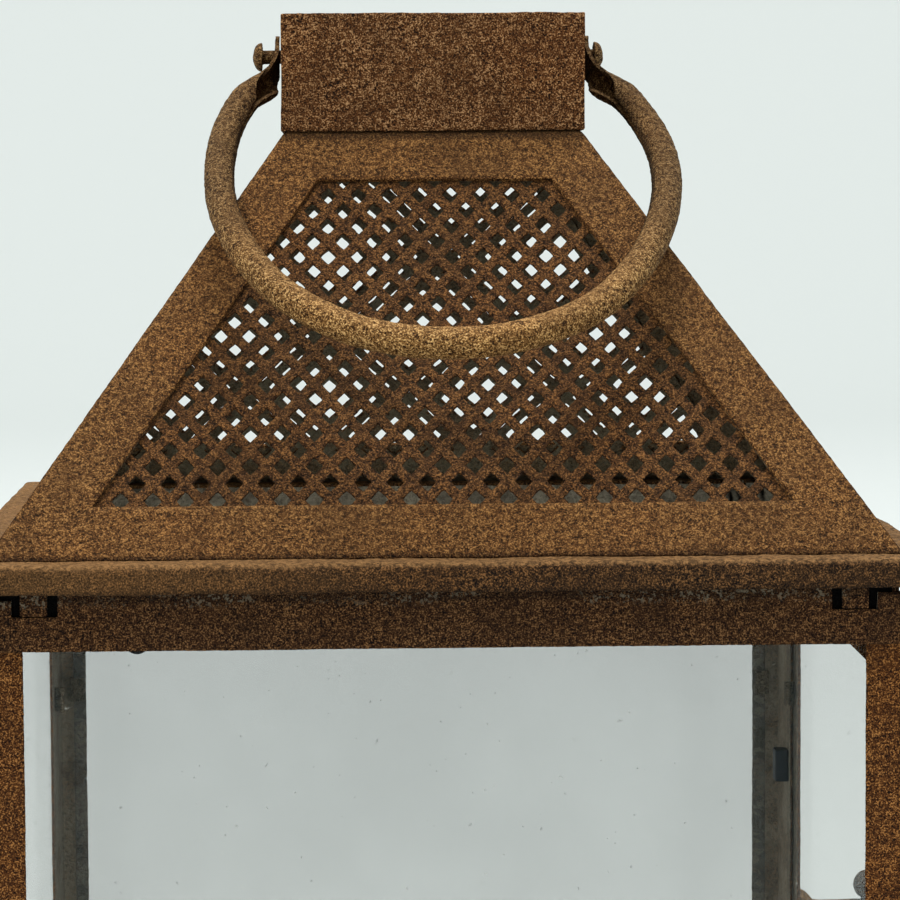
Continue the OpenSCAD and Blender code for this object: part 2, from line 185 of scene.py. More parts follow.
class Nodes:
    """Short names for building one material's nodes."""

    def __init__(self, name):
        self.material = bpy.data.materials.new(name)
        self.material.use_nodes = True
        self.tree = self.material.node_tree
        self.shader = self.tree.nodes["Principled BSDF"]
        self.coordinates = self.tree.nodes.new("ShaderNodeTexCoord")

    def link(self, source, target):
        self.tree.links.new(source, target)

    def value(self, target, source):
        """Sets or links one input."""
        if isinstance(source, (int, float)):
            target.default_value = source
        else:
            self.link(source, target)

    def noise(self, scale, detail=2.0, roughness=0.55):
        node = self.tree.nodes.new("ShaderNodeTexNoise")
        node.inputs["Scale"].default_value = scale
        node.inputs["Detail"].default_value = detail
        node.inputs["Roughness"].default_value = roughness
        self.link(self.coordinates.outputs["Object"], node.inputs["Vector"])
        return node.outputs["Fac"]

    def math(self, operation, first, second=0.0, clamp=False):
        node = self.tree.nodes.new("ShaderNodeMath")
        node.operation = operation
        node.use_clamp = clamp
        self.value(node.inputs[0], first)
        self.value(node.inputs[1], second)
        return node.outputs[0]

    def span(self, source, low, high, to_low=0.0, to_high=1.0):
        """Maps low..high of a number to to_low..to_high, smoothly and clamped."""
        node = self.tree.nodes.new("ShaderNodeMapRange")
        node.interpolation_type = "SMOOTHSTEP"
        self.value(node.inputs["Value"], source)
        for key, number in zip(("From Min", "From Max", "To Min", "To Max"), (low, high, to_low, to_high)):
            node.inputs[key].default_value = number
        return node.outputs["Result"]

    def ramp(self, source, stops):
        node = self.tree.nodes.new("ShaderNodeValToRGB")
        ramp = node.color_ramp
        while len(ramp.elements) < len(stops):
            ramp.elements.new(0.5)
        for element, (place, colour) in zip(ramp.elements, stops):
            element.position = place
            element.color = (*colour, 1)
        self.link(source, node.inputs["Fac"])
        return node.outputs["Color"]

    def mix(self, factor, first, second, blend="MIX"):
        node = self.tree.nodes.new("ShaderNodeMix")
        node.data_type = "RGBA"
        node.blend_type = blend
        self.value(node.inputs["Factor"], factor)
        for socket, source in ((node.inputs["A"], first), (node.inputs["B"], second)):
            if isinstance(source, tuple):
                socket.default_value = (*source, 1)
            else:
                self.link(source, socket)
        return node.outputs["Result"]

    def axis(self, name, output="Object"):
        node = self.tree.nodes.new("ShaderNodeSeparateXYZ")
        self.link(self.coordinates.outputs[output], node.inputs[0])
        return node.outputs[name]

    def facing_in(self, near, far):
        """1 on surfaces that face the lantern's upright axis, 0 on those that face away."""
        flat = self.tree.nodes.new("ShaderNodeVectorMath")
        flat.operation = "MULTIPLY"
        flat.inputs[1].default_value = (1, 1, 0)
        self.link(self.coordinates.outputs["Object"], flat.inputs[0])
        dot = self.tree.nodes.new("ShaderNodeVectorMath")
        dot.operation = "DOT_PRODUCT"
        self.link(flat.outputs["Vector"], dot.inputs[0])
        self.link(self.coordinates.outputs["Normal"], dot.inputs[1])
        return self.span(dot.outputs["Value"], -near, -far)

    def from_axis(self):
        """Distance from the lantern's upright axis, measured square to its sides."""
        x, y = (self.math("ABSOLUTE", self.axis(name)) for name in ("X", "Y"))
        return self.math("MAXIMUM", x, y)

    def band(self, low, high, soft=0.0008):
        """1 between two heights, in metres, and 0 outside them."""
        height = self.axis("Z")
        rising = self.span(height, low - soft, low + soft)
        return self.math("MULTIPLY", rising, self.span(height, high + soft, high - soft))

    def bump(self, height, distance, strength=1.0, normal=None):
        node = self.tree.nodes.new("ShaderNodeBump")
        node.inputs["Distance"].default_value = distance
        node.inputs["Strength"].default_value = strength
        self.link(height, node.inputs["Height"])
        if normal is not None:
            self.link(normal, node.inputs["Normal"])
        return node.outputs["Normal"]


def srgb(red, green, blue):
    """A colour given as it looks on a screen, 0 to 255."""
    return tuple((c / 255 / 12.92) if c / 255 < 0.04045 else ((c / 255 + 0.055) / 1.055) ** 2.4
                 for c in (red, green, blue))


# Scales of the paint's noises, the share of each grain, and where its ramp turns from pit to body to grain
FINE_GRAIN = 2000
COARSE_GRAIN = 760
SPECK_GRAIN = 1100
PATCHES = 70
WARM_PATCHES = 26
SPECK_PATCHES = 45
FINE_SHARE = 0.72
COARSE_SHARE = 0.28
PAINT_STOPS = (0.42, 0.468, 0.53, 0.588)

SETTLED_DUST = srgb(176, 132, 84)
# Painted light: the pale colour of the lip's left end
PAINTED_LIGHT_LEFT = srgb(150, 108, 62)
PALE_GRAIN = srgb(150, 138, 118)
WARM_TINT = (1.15, 1.0, 0.8)
# Painted shade: the tint that darkens the bail higher up
PAINTED_SHADE_TINT = (0.48, 0.49, 0.52)


def rust_paint(name, pit, body, grain, dust=0.25, painted_light_left=0.0, shade_bands=(), inner=None, specks=None,
               shade_heights=None, deep=0.0):
    """Sand-textured rust paint: dark pits, a brown body, tan grains and dust on what faces up.

    Heights and distances are in metres. painted_light_left is how much paler the left end is, as painted
    light. bands darken strips given as (low, high, amount), as painted shade, and specks is a strip of pale
    grains. inner is a
    colour on surfaces that face the middle: grey dust inside the body, pale painted light under the roof and
    dark painted shade on the bail. It holds its colour, its amount, the two limits for facing_in, and
    whether only undersides have it. fade is painted shade: it darkens the paint from its first height to its
    second. deep is
    painted shade too: it blackens what lies nearer to the axis than that."""
    n = Nodes(name)
    fine = n.noise(FINE_GRAIN, 2.0, 0.7)
    coarse = n.noise(COARSE_GRAIN, 2.0, 0.5)
    mottled = n.math("ADD", n.math("MULTIPLY", fine, FINE_SHARE), n.math("MULTIPLY", coarse, COARSE_SHARE))
    colour = n.ramp(mottled, list(zip(PAINT_STOPS, (pit, body, body, grain))))
    patches = n.noise(PATCHES, 4.0, 0.6)
    colour = n.mix(n.span(patches, 0.45, 0.65, 0.0, 0.35), colour, tuple(0.5 * c for c in body))
    warm = n.noise(WARM_PATCHES, 3.0, 0.55)
    colour = n.mix(n.span(warm, 0.45, 0.68, 0.0, 0.35), colour, WARM_TINT, "MULTIPLY")
    up = n.span(n.axis("Z", "Normal"), 0.25, 0.95)
    settled = n.math("MULTIPLY", n.math("MULTIPLY", up, dust), n.span(coarse, 0.4, 0.6, 0.35, 1.0))
    colour = n.mix(settled, colour, SETTLED_DUST)
    # Painted light: the left end paler
    if painted_light_left:
        left = n.span(n.axis("X"), 0.02, -0.12, 0.0, painted_light_left)
        left = n.math("MULTIPLY", left, n.span(fine, 0.35, 0.6, 0.4, 1.0))
        colour = n.mix(left, colour, PAINTED_LIGHT_LEFT)
    # Painted shade: dark strips where shade falls, in creases and under overhangs
    for low, high, amount in shade_bands:
        ragged = n.math("MULTIPLY", n.band(low, high), n.span(coarse, 0.35, 0.55, 0.5, 1.0))
        colour = n.mix(n.math("MULTIPLY", ragged, amount), colour, tuple(0.4 * c for c in pit))
    if specks:
        grains = n.span(n.noise(SPECK_GRAIN, 2.0), 0.53, 0.62)
        grains = n.math("MULTIPLY", grains, n.span(n.noise(SPECK_PATCHES, 3.0), 0.45, 0.62))
        grains = n.math("MULTIPLY", n.band(*specks), grains)
        colour = n.mix(n.math("MULTIPLY", grains, 0.45), colour, PALE_GRAIN)
    if deep:
        # Painted shade: near-black on what lies nearer to the axis than deep, the strips behind the notches
        colour = n.mix(n.span(n.from_axis(), deep, deep - 0.0004), colour, tuple(0.3 * c for c in pit))
    # On what faces the middle: grey dust inside the body, pale painted light under the roof and dark painted
    # shade on the bail, as inner sets
    if inner:
        inner_colour, amount, near, far, under_only = inner
        inward_dust_and_shading = n.math("MULTIPLY", n.facing_in(near, far), n.span(coarse, 0.3, 0.55, 0.7, 1.0))
        inward_dust_and_shading = n.math("MULTIPLY", inward_dust_and_shading, n.span(patches, 0.42, 0.62, 1.0, 0.6))
        if under_only:
            inward_dust_and_shading = n.math("MULTIPLY", inward_dust_and_shading, n.span(n.axis("Z", "Normal"), -0.3, -0.5))
        colour = n.mix(n.math("MULTIPLY", inward_dust_and_shading, amount), colour, inner_colour)
    # Painted shade: the paint darker higher up
    if shade_heights:
        colour = n.mix(n.span(n.axis("Z"), *shade_heights), colour, PAINTED_SHADE_TINT, "MULTIPLY")
    n.link(colour, n.shader.inputs["Base Color"])
    n.link(n.span(fine, 0.3, 0.7, 0.95, 0.7), n.shader.inputs["Roughness"])
    n.shader.inputs["Specular IOR Level"].default_value = 0.12
    lumps = n.bump(coarse, 0.002, 0.7)
    n.link(n.bump(fine, 0.0011, 1.0, lumps), n.shader.inputs["Normal"])
    return n.material


def glass_material(name, film_alpha, film_colour):
    """Clear glass with a thin film of dust and a few specks, glossy at a low angle."""
    n = Nodes(name)
    film = n.noise(14, 4.0, 0.6)
    specks = n.span(n.noise(420, 2.0, 0.4), 0.74, 0.8)
    fresnel = n.tree.nodes.new("ShaderNodeFresnel")
    fresnel.inputs["IOR"].default_value = 1.5
    alpha = n.span(film, 0.3, 0.7, film_alpha * 0.95, film_alpha * 1.05)
    alpha = n.math("ADD", alpha, n.math("MULTIPLY", specks, 0.25))
    shine = n.span(fresnel.outputs["Fac"], 0.05, 1.0, 0.0, 0.3)
    alpha = n.math("ADD", alpha, shine, clamp=True)
    n.link(alpha, n.shader.inputs["Alpha"])
    n.link(n.mix(specks, film_colour, (0.55, 0.56, 0.52)), n.shader.inputs["Base Color"])
    n.link(n.span(film, 0.3, 0.7, 0.04, 0.12), n.shader.inputs["Roughness"])
    n.shader.inputs["Specular IOR Level"].default_value = 0.5
    return n.material


def plain_material(name, dark, light, scale, roughness, bump_distance):
    """Moulded rubber or a coated magnet: two close colours, fine grain and a soft sheen."""
    n = Nodes(name)
    grain = n.noise(scale, 3.0, 0.6)
    n.link(n.ramp(grain, [(0.35, dark), (0.65, light)]), n.shader.inputs["Base Color"])
    n.link(n.span(grain, 0.3, 0.7, roughness, roughness + 0.15), n.shader.inputs["Roughness"])
    n.shader.inputs["Specular IOR Level"].default_value = 0.15
    n.link(n.bump(grain, bump_distance, 0.6), n.shader.inputs["Normal"])
    return n.material


# Grey dust inside the lantern, pale painted light under the roof, and dark painted shade on the bail's inner
# side and open ends
DUST_INSIDE = (srgb(180, 170, 150), 0.85, 0.118, 0.1215, False)
# Painted light: pale grey on the inward undersides under the roof, which lie in shade
PAINTED_LIGHT_UNDER_ROOF = (srgb(112, 106, 88), 0.8, 0.015, 0.05, True)
# Painted shade: dark on the surfaces of the bail and its rivets that face the middle
PAINTED_SHADE_INSIDE = (srgb(16, 9, 4), 0.85, 0.02, 0.05, False)
# Painted shade: dark strips in the creases where the roof meets the eave and the collar
ROOF_CREASE_SHADE = ((0.3092, 0.3112, 0.6), (0.4236, 0.4264, 0.6))

PAINT_ROOF = rust_paint("paint_roof", srgb(18, 7, 1), srgb(82, 49, 19), srgb(156, 112, 62),
                        shade_bands=ROOF_CREASE_SHADE, inner=PAINTED_LIGHT_UNDER_ROOF)
PAINT_GRILLE = rust_paint("paint_grille", srgb(12, 5, 1), srgb(68, 41, 18), srgb(132, 89, 47), dust=0.1,
                          inner=PAINTED_LIGHT_UNDER_ROOF)
PAINT_COLLAR = rust_paint("paint_collar", srgb(18, 8, 2), srgb(88, 51, 20), srgb(176, 134, 92), dust=0.1)
# The lip: a paler left end as painted light, and a dark strip along its lower edge as painted shade
PAINT_LIP = rust_paint("paint_lip", srgb(8, 3, 1), srgb(59, 38, 18), srgb(130, 90, 52), dust=0.5,
                       painted_light_left=0.25, shade_bands=((0.3005, 0.303, 0.45),), inner=DUST_INSIDE)
# The top rail: a dark strip under the lip as painted shade, and near-black painted shade behind the notches
PAINT_RAIL = rust_paint("paint_rail", srgb(6, 2, 0), srgb(64, 38, 18), srgb(142, 102, 64), dust=0.1,
                        shade_bands=((0.2985, 0.312, 0.5),), inner=DUST_INSIDE, specks=(0.2975, 0.3024),
                        deep=0.1226)
PAINT_POST = rust_paint("paint_post", srgb(18, 5, 1), srgb(81, 45, 15), srgb(172, 118, 64),
                        inner=DUST_INSIDE)
# The bail: painted shade on what faces the middle, and painted shade that darkens it higher up
PAINT_BAIL = rust_paint("paint_bail", srgb(34, 16, 5), srgb(121, 84, 43), srgb(216, 172, 112), dust=0.3,
                        inner=PAINTED_SHADE_INSIDE, shade_heights=(0.372, 0.412))
PAINT_CLIPS = rust_paint("paint_clips", srgb(40, 34, 26), srgb(104, 94, 78), srgb(150, 138, 118), dust=0.1)
GLASS = glass_material("dusty_glass", 0.07, (0.03, 0.045, 0.045))
# The back pane has a heavier film than the others, which darkens the view through it
GLASS_BACK = glass_material("glass_back_heavy_film", 0.29, (0.04, 0.05, 0.045))
GLASS_LEFT = glass_material("dusty_glass_left", 0.07, (0.06, 0.07, 0.065))
GLASS_SIDE = glass_material("dusty_glass_side", 0.02, (0.1, 0.12, 0.115))
RUBBER = plain_material("rubber", srgb(14, 14, 15), srgb(34, 34, 36), 900, 0.55, 0.0002)
MAGNET_COAT = plain_material("magnet_coat", srgb(3, 6, 12), srgb(12, 20, 32), 700, 0.4, 0.0002)


# Mesh helpers

def roughened(points, grain_move=GRAIN_MOVE, wave_move=WAVE_MOVE):
    """Moves every point by two layers of noise that depend only on where it is."""
    moved = np.array(points, float)
    for index, point in enumerate(points):
        place = Vector(point)
        shift = noise.noise_vector(place / GRAIN) * grain_move + noise.noise_vector(place / WAVE) * wave_move
        moved[index] += shift
    return moved


def loft(rings, closed=False, caps=True):
    """Vertices and faces of a surface through rings of points. Each ring is a closed outline."""
    rings = np.asarray(rings, float)
    count, size = rings.shape[:2]
    faces = []
    for i in range(count if closed else count - 1):
        here = i * size
        there = ((i + 1) % count) * size
        faces += [(here + j, here + (j + 1) % size, there + (j + 1) % size, there + j) for j in range(size)]
    if caps and not closed:
        faces.append(tuple(reversed(range(size))))
        faces.append(tuple(range((count - 1) * size, count * size)))
    return rings.reshape(-1, 3), faces


def make_piece(name, parts, body, material, nodes, grain_move=GRAIN_MOVE, wave_move=WAVE_MOVE,
               sharp=40):
    """One object from lofted parts. It rides on a body and stands for the CAD nodes named."""
    points = []
    faces = []
    for part_points, part_faces in parts:
        start = len(points)
        points.extend(part_points)
        faces.extend(tuple(start + index for index in face) for face in part_faces)
    points = roughened(np.array(points), grain_move, wave_move) * MM
    mesh = bpy.data.meshes.new(name)
    mesh.from_pydata(points.tolist(), [], faces)
    work = bmesh.new()
    work.from_mesh(mesh)
    bmesh.ops.recalc_face_normals(work, faces=work.faces)
    work.to_mesh(mesh)
    work.free()
    mesh.shade_smooth()
    mesh.set_sharp_from_angle(angle=math.radians(sharp))
    mesh.materials.append(material)
    piece = bpy.data.objects.new(name, mesh)
    bpy.context.scene.collection.objects.link(piece)
    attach(piece, body)
    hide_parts(*nodes)


def rounded(corners, radius, cuts):
    """A closed outline with rounded corners. cuts is how many points go inside each edge."""
    corners = np.asarray(corners, float)
    count = len(corners)
    starts = []
    ends = []
    for i in range(count):
        before = corners[i - 1] - corners[i]
        after = corners[(i + 1) % count] - corners[i]
        starts.append(corners[i] + before / np.linalg.norm(before) * radius)
        ends.append(corners[i] + after / np.linalg.norm(after) * radius)
    outline = []
    for i in range(count):
        for t in (0.0, 0.33, 0.67, 1.0):
            outline.append((1 - t) ** 2 * starts[i] + 2 * t * (1 - t) * corners[i] + t ** 2 * ends[i])
        following = starts[(i + 1) % count]
        for k in range(cuts[i]):
            outline.append(ends[i] + (following - ends[i]) * (k + 1) / (cuts[i] + 1))
    return np.array(outline)


def shrunk(outline, amount):
    """The outline moved inward by an amount, along the direction square to it at each point."""
    along = np.roll(outline, -1, axis=0) - np.roll(outline, 1, axis=0)
    square = np.stack([along[:, 1], -along[:, 0]], axis=1)
    square /= np.linalg.norm(square, axis=1)[:, None] + 1e-9
    x, y = outline[:, 0], outline[:, 1]
    area = np.sum(x * np.roll(y, -1) - y * np.roll(x, -1))
    return outline - square * amount * np.sign(area)


def stations(start, end, step=STEP):
    """Places along a bar: even steps, with a short one at each end for the rounded end."""
    inner = np.linspace(start + 0.4, end - 0.4, max(2, round((end - start) / step)))
    return [start, start + 0.12, *inner, end - 0.12, end]


def bar(outline, place, start, end, step=STEP):
    """A bar of one outline from start to end, with softened ends. place turns (u, v, w) into a point."""
    rings = []
    for along in stations(start, end, step):
        near_end = min(along - start, end - along)
        inset = 0.3 if near_end < 0.05 else 0.1 if near_end < 0.2 else 0.0
        ring = shrunk(outline, inset) if inset else outline
        rings.append([place(u, v, along) for u, v in ring])
    return loft(rings)


def turned(part, side):
    """A part drawn for the front, turned to a side: 0 front, 1 right, 2 back, 3 left."""
    points, faces = part
    angle = side * math.pi / 2
    cosine, sine = math.cos(angle), math.sin(angle)
    turn = np.array([[cosine, -sine, 0], [sine, cosine, 0], [0, 0, 1]])
    return np.asarray(points) @ turn.T, faces


def rectangle(u0, v0, u1, v1, radius=0.5, cuts=(1, 8, 1, 8)):
    """The outline of a rounded rectangle between two opposite corners."""
    return rounded([(u0, v0), (u1, v0), (u1, v1), (u0, v1)], radius, cuts)


SIDES = ("front", "right", "back", "left")


# Body

def make_posts():
    """Four corner posts, each a folded angle."""
    corners = [(BODY - POST_FACE, -BODY), (BODY, -BODY), (BODY, -BODY + POST_SIDE),
               (INNER, -BODY + POST_SIDE), (INNER, -INNER), (BODY - POST_FACE, -INNER)]
    outline = rounded(corners, 0.45, (3, 9, 0, 9, 3, 0))
    for name, mirror_x, mirror_y in (("front_left", -1, 1), ("front_right", 1, 1),
                                     ("back_right", 1, -1), ("back_left", -1, -1)):
        part = bar(outline, lambda u, v, w: (u * mirror_x, v * mirror_y, w), SHEET, WINDOW_TOP)
        make_piece(f"post_{name}_painted", [part], "lantern", PAINT_POST, [f"post_{name}"])


def make_bottom_rails():
    """Plain strips under the windows."""
    outline = rectangle(-BODY, SHEET, -INNER, WINDOW_LOW, cuts=(0, 12, 0, 12))
    for side, name in enumerate(SIDES):
        half = BODY - (POST_FACE if side % 2 == 0 else POST_SIDE)
        part = bar(outline, lambda u, v, w: (w, u, v), -half, half)
        make_piece(f"bottom_rail_{name}_painted", [turned(part, side)], "lantern", PAINT_POST,
                   [f"bottom_rail_{name}"])


def top_rail_height(along):
    """Height of the top rail's upper edge: it drops at the notches for the roof's tabs."""
    away = abs(along)
    if away < NOTCH_FROM:
        return EAVE_Z - SHEET
    return NOTCH_Z if away < NOTCH_TO else RAIL_END_Z


def make_top_rails():
    """Strips over the windows, notched near both ends."""
    for side, name in enumerate(SIDES):
        half = BODY if side % 2 == 0 else INNER
        places = stations(-half, half)
        for edge in (NOTCH_FROM, NOTCH_TO):
            places += [hand * (edge + off) for hand in (-1, 1) for off in (-0.03, 0.03)]
        rings = []
        for along in sorted(places):
            near_end = half - abs(along)
            inset = 0.3 if near_end < 0.05 else 0.0
            outline = rectangle(-BODY, WINDOW_TOP, -INNER, top_rail_height(along), cuts=(0, 8, 0, 8))
            rings.append([(along, u, v) for u, v in shrunk(outline, inset)])
        make_piece(f"top_rail_{name}_painted", [turned(loft(rings), side)], "lantern", PAINT_RAIL,
                   [f"top_rail_{name}"])


def make_base():
    """The base tray: walls with a flange over them and a flat floor, as one folded sheet."""
    out, thick, flange = EAVE, SHEET, BASE_HOLE
    floor_in = 60.0
    bend = 1.2
    cut = 0.35
    profile = [(floor_in, 0), (out - bend, 0), (out - cut, cut), (out, bend), (out, 5), (out, 10), (out, 15),
               (out, BASE_H - bend), (out - cut, BASE_H - cut), (out - bend, BASE_H), (flange + 0.4, BASE_H),
               (flange, BASE_H - 0.4), (flange, BASE_H - thick + 0.3), (flange + 0.3, BASE_H - thick),
               (out - thick - 0.3, BASE_H - thick), (out - thick, BASE_H - thick - 0.3), (out - thick, 10),
               (out - thick, thick + 0.4), (out - thick - 0.4, thick), (floor_in, thick)]
    rings = []
    for along in square_ring(STEP):
        rings.append([square_point(along, half, height) for half, height in profile])
    points, faces = loft(rings, closed=True)
    size = len(profile)
    faces = [face for face in faces if not {face[0] % size, face[1] % size} == {0, size - 1}]
    count = len(rings)
    faces.append(tuple(index * size for index in range(count)))
    faces.append(tuple(index * size + size - 1 for index in range(count)))
    make_piece("base_tray_painted", [(points, faces)], "lantern", PAINT_POST,
               ["base_tray"])


def square_ring(step):
    """Places around a square: the side's number plus how far along it, from -1 to 1."""
    count = round(2 * EAVE / step)
    return [(side, -1 + 2 * k / count) for side in range(4) for k in range(count)]


def square_point(place, half, height):
    """A point on the square at half its width from the axis, at a place given by square_ring."""
    side, along = place
    angle = side * math.pi / 2
    x, y = along * half, -half
    return (x * math.cos(angle) - y * math.sin(angle), x * math.sin(angle) + y * math.cos(angle), height)


make_posts()
make_bottom_rails()
make_top_rails()
make_base()


# Eave and roof

def make_eave():
    """Four folded edges: a flat flange, a round fold and a lip, mitred at the corners."""
    fold_y, fold_z = EAVE - FOLD_R, EAVE_Z - FOLD_R
    arc = [math.radians(a) for a in (90, 72, 54, 36, 18, 0)]
    outer = [(fold_y + FOLD_R * math.cos(a), fold_z + FOLD_R * math.sin(a)) for a in arc]
    inner_r = FOLD_R - SHEET
    inner = [(fold_y + inner_r * math.cos(a), fold_z + inner_r * math.sin(a)) for a in reversed(arc)]
    profile = [(FLANGE_IN, EAVE_Z), (120, EAVE_Z), (124, EAVE_Z), (128, EAVE_Z), *outer,
               (EAVE, 306), (EAVE, 304.5), (EAVE, 303), (EAVE, LIP_Z + 0.5), (EAVE - 0.15, LIP_Z + 0.12),
               (EAVE - 0.6, LIP_Z), (EAVE - SHEET + 0.12, LIP_Z + 0.15), (EAVE - SHEET, LIP_Z + 0.6),
               (EAVE - SHEET, 305), *inner, (128, EAVE_Z - SHEET), (FLANGE_IN, EAVE_Z - SHEET)]
    count = round(2 * EAVE / STEP)
    rings = [[(t * out, -out, height) for out, height in profile] for t in np.linspace(-1, 1, count)]
    for side, name in enumerate(SIDES):
        make_piece(f"eave_{name}_painted", [turned(loft(rings), side)], "lantern", PAINT_LIP,
                   [f"eave_{name}"], grain_move=0.15, wave_move=0.3)


def make_tabs():
    """The roof's tabs in the notches of the top rails, and strips of painted shade that show dark behind
    them.
    """
    outline = rectangle(-BODY, NOTCH_Z + 0.2, -INNER, EAVE_Z - SHEET, radius=0.4, cuts=(0, 6, 0, 6))
    behind = rectangle(-INNER + 0.7, NOTCH_Z - 4, -INNER + 1.7, EAVE_Z - SHEET, radius=0.3,
                       cuts=(0, 6, 0, 6))
    parts = []
    for side in range(4):
        for hand in (-1, 1):
            part = bar(outline, lambda u, v, w: (w, u, v), hand * TAB_X - TAB_HALF, hand * TAB_X + TAB_HALF)
            parts.append(turned(part, side))
            # Painted shade: a dark strip behind each notch, where the slit shows only shadow
            shadow_strip = bar(behind, lambda u, v, w: (w, u, v), hand * TAB_X - SHADOW_STRIP_HALF, hand * TAB_X + SHADOW_STRIP_HALF)
            parts.append(turned(shadow_strip, side))
    make_piece("roof_tabs_painted", parts, "lantern", PAINT_RAIL, ["roof_tabs"])


def on_roof(across, up, depth):
    """A point of the front roof panel: across it, up its slope and below its outer face."""
    cosine, sine = math.cos(ROOF_SLOPE), math.sin(ROOF_SLOPE)
    return (across, -ROOF_HALF + up * cosine + depth * sine, EAVE_Z + up * sine - depth * cosine)


def window_half(up):
    """Half the width of the pierced window at a distance up the slope."""
    return ROOF_HALF - up * ROOF_RUN / ROOF_LENGTH - SIDE_BORDER


def loop_through(corners, counts):
    """Points around a four-cornered loop, with a number of them along each side."""
    loop = []
    for i, count in enumerate(counts):
        first, second = np.array(corners[i]), np.array(corners[(i + 1) % len(corners)])
        loop += [first + (second - first) * k / count for k in range(count)]
    return np.array(loop)


def panel_corners(depth):
    """Corners of a roof panel's outline at a depth under its outer face."""
    slide = depth / math.tan(ROOF_SLOPE)
    shrink = depth / math.sin(ROOF_SLOPE)
    low, high = ROOF_HALF - shrink, ROOF_TOP_HALF - shrink
    return [(-low, slide), (low, slide), (high, ROOF_LENGTH + slide), (-high, ROOF_LENGTH + slide)]


def window_corners(grow=0.0):
    """Corners of the pierced window on the slope, moved outward by an amount."""
    low, high = BORDER - grow, ROOF_LENGTH - BORDER + grow
    return [(-window_half(low) - grow, low), (window_half(low) + grow, low),
            (window_half(high) + grow, high), (-window_half(high) - grow, high)]


def make_roof_panels():
    """Four mitred frames of sheet steel around the pierced windows."""
    hip = math.hypot(ROOF_LENGTH, ROOF_RUN)
    counts = [round(length / STEP) for length in (2 * ROOF_HALF, hip, 2 * ROOF_TOP_HALF, hip)]
    inner = loop_through(window_corners(), counts)
    outer = loop_through(panel_corners(0), counts)
    under = loop_through(panel_corners(ROOF_SHEET), counts)
    rings = []
    for window, edge, edge_under in zip(inner, outer, under):
        width = np.linalg.norm(edge - window)
        ring = []
        for inset, depth in ((0.0, 0.5), (0.12, 0.14), (0.5, 0.0)):
            ring.append(on_roof(*(window + (edge - window) * inset / width), depth))
        for share in (0.12, 0.25, 0.38, 0.5, 0.62, 0.75, 0.86):
            ring.append(on_roof(*(window + (edge - window) * share), 0))
        for inset, depth in ((1.3, 0.0), (0.6, 0.12)):
            ring.append(on_roof(*(edge + (window - edge) * inset / width), depth))
        lowered = edge + (edge_under - edge) * 0.3
        ring.append(on_roof(*lowered, ROOF_SHEET * 0.3))
        ring.append(on_roof(*edge_under, ROOF_SHEET))
        for share in (0.7, 0.35, 0.05):
            ring.append(on_roof(*(window + (edge_under - window) * share), ROOF_SHEET))
        ring.append(on_roof(*window, ROOF_SHEET * 0.8))
        rings.append(ring)
    part = loft(rings, closed=True)
    for side, name in enumerate(SIDES):
        make_piece(f"roof_panel_{name}_painted", [turned(part, side)], "lantern", PAINT_ROOF,
                   [f"roof_panel_{name}"], grain_move=0.14)


def diamond_ring(half_width, half_height, power, count):
    """Points around a diamond with softened corners, from its right corner, count to a side."""
    ring = []
    for k in range(4 * count):
        quarter, share = divmod(k / count, 1)
        quarter = int(quarter)
        x, y = 1 - share, share
        for _ in range(quarter):
            x, y = -y, x
        length = (abs(x) ** power + abs(y) ** power) ** (1 / power)
        ring.append((x / length * half_width, y / length * half_height))
    return ring


def grille_cells(shift):
    """Centre of every cell of the lattice that the plate covers, and whether it has a hole."""
    columns = math.ceil(ROOF_HALF / HOLE_PITCH)
    for row in range(-3, HOLE_ROWS + 4):
        up = BORDER + HOLE_H / 2 + row * ROW_PITCH + shift[1]
        for column in range(-columns, columns + 1):
            across = (column + (row % 2) / 2) * HOLE_PITCH + shift[0]
            if abs(across) < window_half(up) + GRILLE_COVER + 2 * HOLE_PITCH:
                yield across, up, 0 <= row < HOLE_ROWS and abs(across) < window_half(up) + HOLE_W / 4


def grille_part(shift):
    """The pierced plate behind a roof panel: bars with rounded edges around rough diamond holes."""
    count = 4
    top, bottom = ROOF_SHEET, ROOF_SHEET + GRILLE_T
    cell = diamond_ring(HOLE_PITCH / 2, ROW_PITCH, 1.0, count)
    middle = diamond_ring(HOLE_W / 2 + 0.55, HOLE_H / 2 + 0.55, 1.03, count)
    hole = diamond_ring(HOLE_W / 2 + 0.35, HOLE_H / 2 + 0.35, 1.06, count)
    layers = ((cell, top), (middle, top + 0.06), (hole, top + 0.25), (hole, bottom - 0.25),
              (middle, bottom - 0.06), (cell, bottom))
    work = bmesh.new()
    for across, up, pierced in grille_cells(shift):
        if pierced:
            rings = [[work.verts.new((across + x, up + y, depth)) for x, y in ring]
                     for ring, depth in layers]
            for lower, upper in zip(rings, rings[1:]):
                for j in range(4 * count):
                    k = (j + 1) % (4 * count)
                    work.faces.new((lower[j], lower[k], upper[k], upper[j]))
        else:
            for depth in (top, bottom):
                work.faces.new([work.verts.new((across + x, up + y, depth)) for x, y in cell])
    bmesh.ops.remove_doubles(work, verts=work.verts, dist=0.002)
    corners = window_corners(GRILLE_COVER)
    for i, corner in enumerate(corners):
        following = corners[(i + 1) % 4]
        outward = Vector((following[1] - corner[1], corner[0] - following[0], 0)).normalized()
        everything = work.verts[:] + work.edges[:] + work.faces[:]
        bmesh.ops.bisect_plane(work, geom=everything, plane_co=(*corner, 0), plane_no=outward,
                               clear_outer=True)
    rim = [edge for edge in work.edges if edge.is_boundary]
    close_rim(work, rim, top, bottom)
    work.verts.index_update()
    points = [on_roof(*vert.co) for vert in work.verts]
    faces = [tuple(vert.index for vert in face.verts) for face in work.faces]
    work.free()
    return np.array(points), faces


